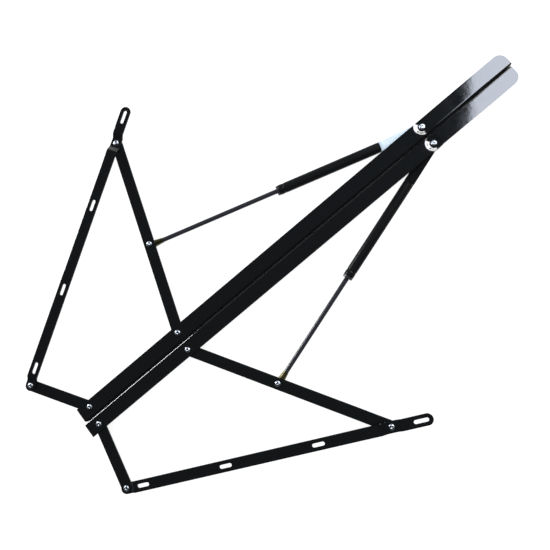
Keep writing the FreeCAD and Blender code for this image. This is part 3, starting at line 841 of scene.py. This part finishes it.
def plain_finish(name, hex_value, low, high, metallic=0.0, grain_mm=1.5):
    """Small parts: one colour whose gloss varies a little over the surface."""
    material = new_material(name)
    grain = noise(material, grain_mm, 3.0)
    shader = add_node(
        material, "ShaderNodeBsdfPrincipled", None,
        {"Base Color": colour(hex_value), "Metallic": metallic,
         "Roughness": ramp(material, grain.outputs["Fac"], low, high),
         "Normal": bump(material, grain.outputs["Fac"], 0.02, 0.3)})
    return finish(material, shader)


MATERIALS = {}


def make_materials(colours):
    """Mix every finish once, under its material slot's name or its own."""
    MATERIALS["black_paint"] = gloss_enamel(colours)
    MATERIALS["zinc"] = bright_zinc(colours)
    # The left bracket's zinc with a painted sheen.
    MATERIALS["sheen_painted_zinc"] = sheen_painted_zinc(colours)
    # A dull black that paints shade on the rails' flanges.
    MATERIALS["thin_enamel"] = thin_enamel(colours)
    MATERIALS["tube_lacquer"] = satin_lacquer(colours)
    MATERIALS["chrome"] = black_nitride(colours)
    MATERIALS["yellow_zinc"] = yellow_passivate(colours)
    MATERIALS["washer_plastic"] = plain_finish("black_nylon", "141414", 0.45, 0.6)
    MATERIALS["cap_plastic"] = plain_finish("moulded_black_cap", "101012", 0.3, 0.45)
    MATERIALS["bronze"] = plain_finish("sintered_bronze", "8A6A3A", 0.4, 0.55, 1.0, 0.6)
    MATERIALS["seal_rubber"] = plain_finish("nitrile_seal", "161616", 0.6, 0.75)
    MATERIALS["bare_steel"] = plain_finish("turned_steel", "9A9CA0", 0.3, 0.4, 1.0, 0.8)


class BEDLIFT_OT_finishes(bpy.types.Operator):
    """Mix the finishes, and give each part that came from the frame its own"""

    bl_idname = "bedlift.finishes"
    bl_label = "Finishes"

    def execute(self, context):
        make_materials(context.scene.lift_colours)
        for name, part in frame["nodes"].items():
            part.data.materials.clear()
            part.data.materials.append(MATERIALS[SLOTS[name]])
        return {"FINISHED"}


# ---------------------------------------------------------------- stage

def soft_panel(name, place, width, depth, turn, radiance, hue="FFFFFF",
               in_gloss=True, tilt=0.0):
    """A studio panel that hangs level and shines down, or is tilted up on its side."""
    bpy.ops.object.light_add(type="AREA", location=place, rotation=(tilt, 0, turn))
    light = bpy.context.object
    light.name = name
    light.data.shape = "RECTANGLE"
    light.data.size = width
    light.data.size_y = depth
    light.data.energy = radiance * math.pi * width * depth
    light.data.color = colour(hue)[:3]
    light.visible_glossy = in_gloss
    light.visible_camera = False


class BEDLIFT_OT_stage(bpy.types.Operator):
    """Lay the light table as the floor, and set the lights and the camera"""

    bl_idname = "bedlift.stage"
    bl_label = "Stage"

    def execute(self, context):
        scene = context.scene
        bpy.ops.object.select_all(action="DESELECT")
        bpy.ops.mesh.primitive_plane_add(size=12.0, location=(0, 0, -0.0004))
        floor = context.object
        floor.name = "light_table"
        # Opal acrylic lit from below: its even glow is white and hides the shadows.
        opal = new_material("opal_acrylic")
        frosting = noise(opal, 3.0, 4.0)
        shader = add_node(
            opal, "ShaderNodeBsdfPrincipled", None,
            {"Base Color": colour(scene.lift_colours.floor), "Roughness": 0.9,
             "Specular IOR Level": 0.1, "Emission Color": colour("FFFFFF"),
             "Emission Strength": 0.86,
             "Normal": bump(opal, frosting.outputs["Fac"], 0.02, 0.1)})
        floor.data.materials.append(finish(opal, shader))

        world = bpy.data.worlds.new("studio")
        world.use_nodes = True
        sky = world.node_tree.nodes["Background"]
        sky.inputs["Color"].default_value = colour("FFFFFF")
        sky.inputs["Strength"].default_value = 0.02
        scene.world = world

        # Each glossy face shows one of these panels, and the rest of the room is dark.
        turn = PANEL_TURN
        across = Vector((math.cos(turn), math.sin(turn), 0))
        away = Vector((-math.sin(turn), math.cos(turn), 0))

        def hung(u, v):
            """A place over the table: u metres across the view and v metres up it."""
            return across * u + away * v + Vector((0, 0, PANEL_HEIGHT))

        soft_panel("ceiling_wash", (0.0, 0.0, 3.2), 5.0, 5.0, 0.0, 5.6, in_gloss=False)
        soft_panel("far_window", hung(0.807, 0.85), 0.40, 0.70, turn, 18.0, "DDE4F2")
        soft_panel("side_window", hung(1.36, 1.15), 0.68, 1.50, turn, 26.0)
        soft_panel("back_window", hung(0.60, 1.95), 1.20, 0.80, turn, 18.0)
        soft_panel("near_strip", (-1.22, 2.0, 0.50), 0.90, 0.80, 0.0, 48.0, tilt=UPRIGHT)
        soft_panel("middle_strip", (0.02, 2.0, 0.50), 1.50, 0.80, 0.0, 1.5, tilt=UPRIGHT)

        bpy.ops.object.camera_add(
            location=CAMERA_PLACE,
            rotation=[math.radians(angle) for angle in CAMERA_TURN])
        camera = context.object
        camera.name = "view_camera"
        camera.data.lens = CAMERA_LENS
        camera.data.sensor_width = CAMERA_SENSOR
        scene.camera = camera
        scene.view_settings.view_transform = "Standard"
        return {"FINISHED"}


class BEDLIFT_PT_panel(bpy.types.Panel):
    """The steps that build the finished pair"""

    bl_idname = "BEDLIFT_PT_panel"
    bl_label = "Bed lift"
    bl_space_type = "VIEW_3D"
    bl_region_type = "UI"
    bl_category = "Bed lift"

    def draw(self, context):
        for owner in (context.scene.lift_sizes, context.scene.lift_colours):
            for name in owner.__annotations__:
                self.layout.prop(owner, name)
        for step in STEPS:
            self.layout.operator(step.bl_idname)


STEPS = (
    BEDLIFT_OT_finishes, BEDLIFT_OT_base_rails, BEDLIFT_OT_links, BEDLIFT_OT_lift_rails,
    BEDLIFT_OT_rivets, BEDLIFT_OT_struts, BEDLIFT_OT_brackets, BEDLIFT_OT_stage)
CLASSES = (LiftSizes, LiftColours, *STEPS, BEDLIFT_PT_panel)


def register():
    for item in CLASSES:
        bpy.utils.register_class(item)
    bpy.types.Scene.lift_sizes = bpy.props.PointerProperty(type=LiftSizes)
    bpy.types.Scene.lift_colours = bpy.props.PointerProperty(type=LiftColours)


def unregister():
    del bpy.types.Scene.lift_colours
    del bpy.types.Scene.lift_sizes
    for item in reversed(CLASSES):
        bpy.utils.unregister_class(item)


def main():
    register()
    bpy.ops.bedlift.finishes()
    bpy.ops.bedlift.base_rails()
    bpy.ops.bedlift.links()
    bpy.ops.bedlift.lift_rails()
    bpy.ops.bedlift.rivets()
    bpy.ops.bedlift.struts()
    bpy.ops.bedlift.brackets()
    bpy.ops.bedlift.stage()
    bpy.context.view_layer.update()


if __name__ == "__main__":
    main()
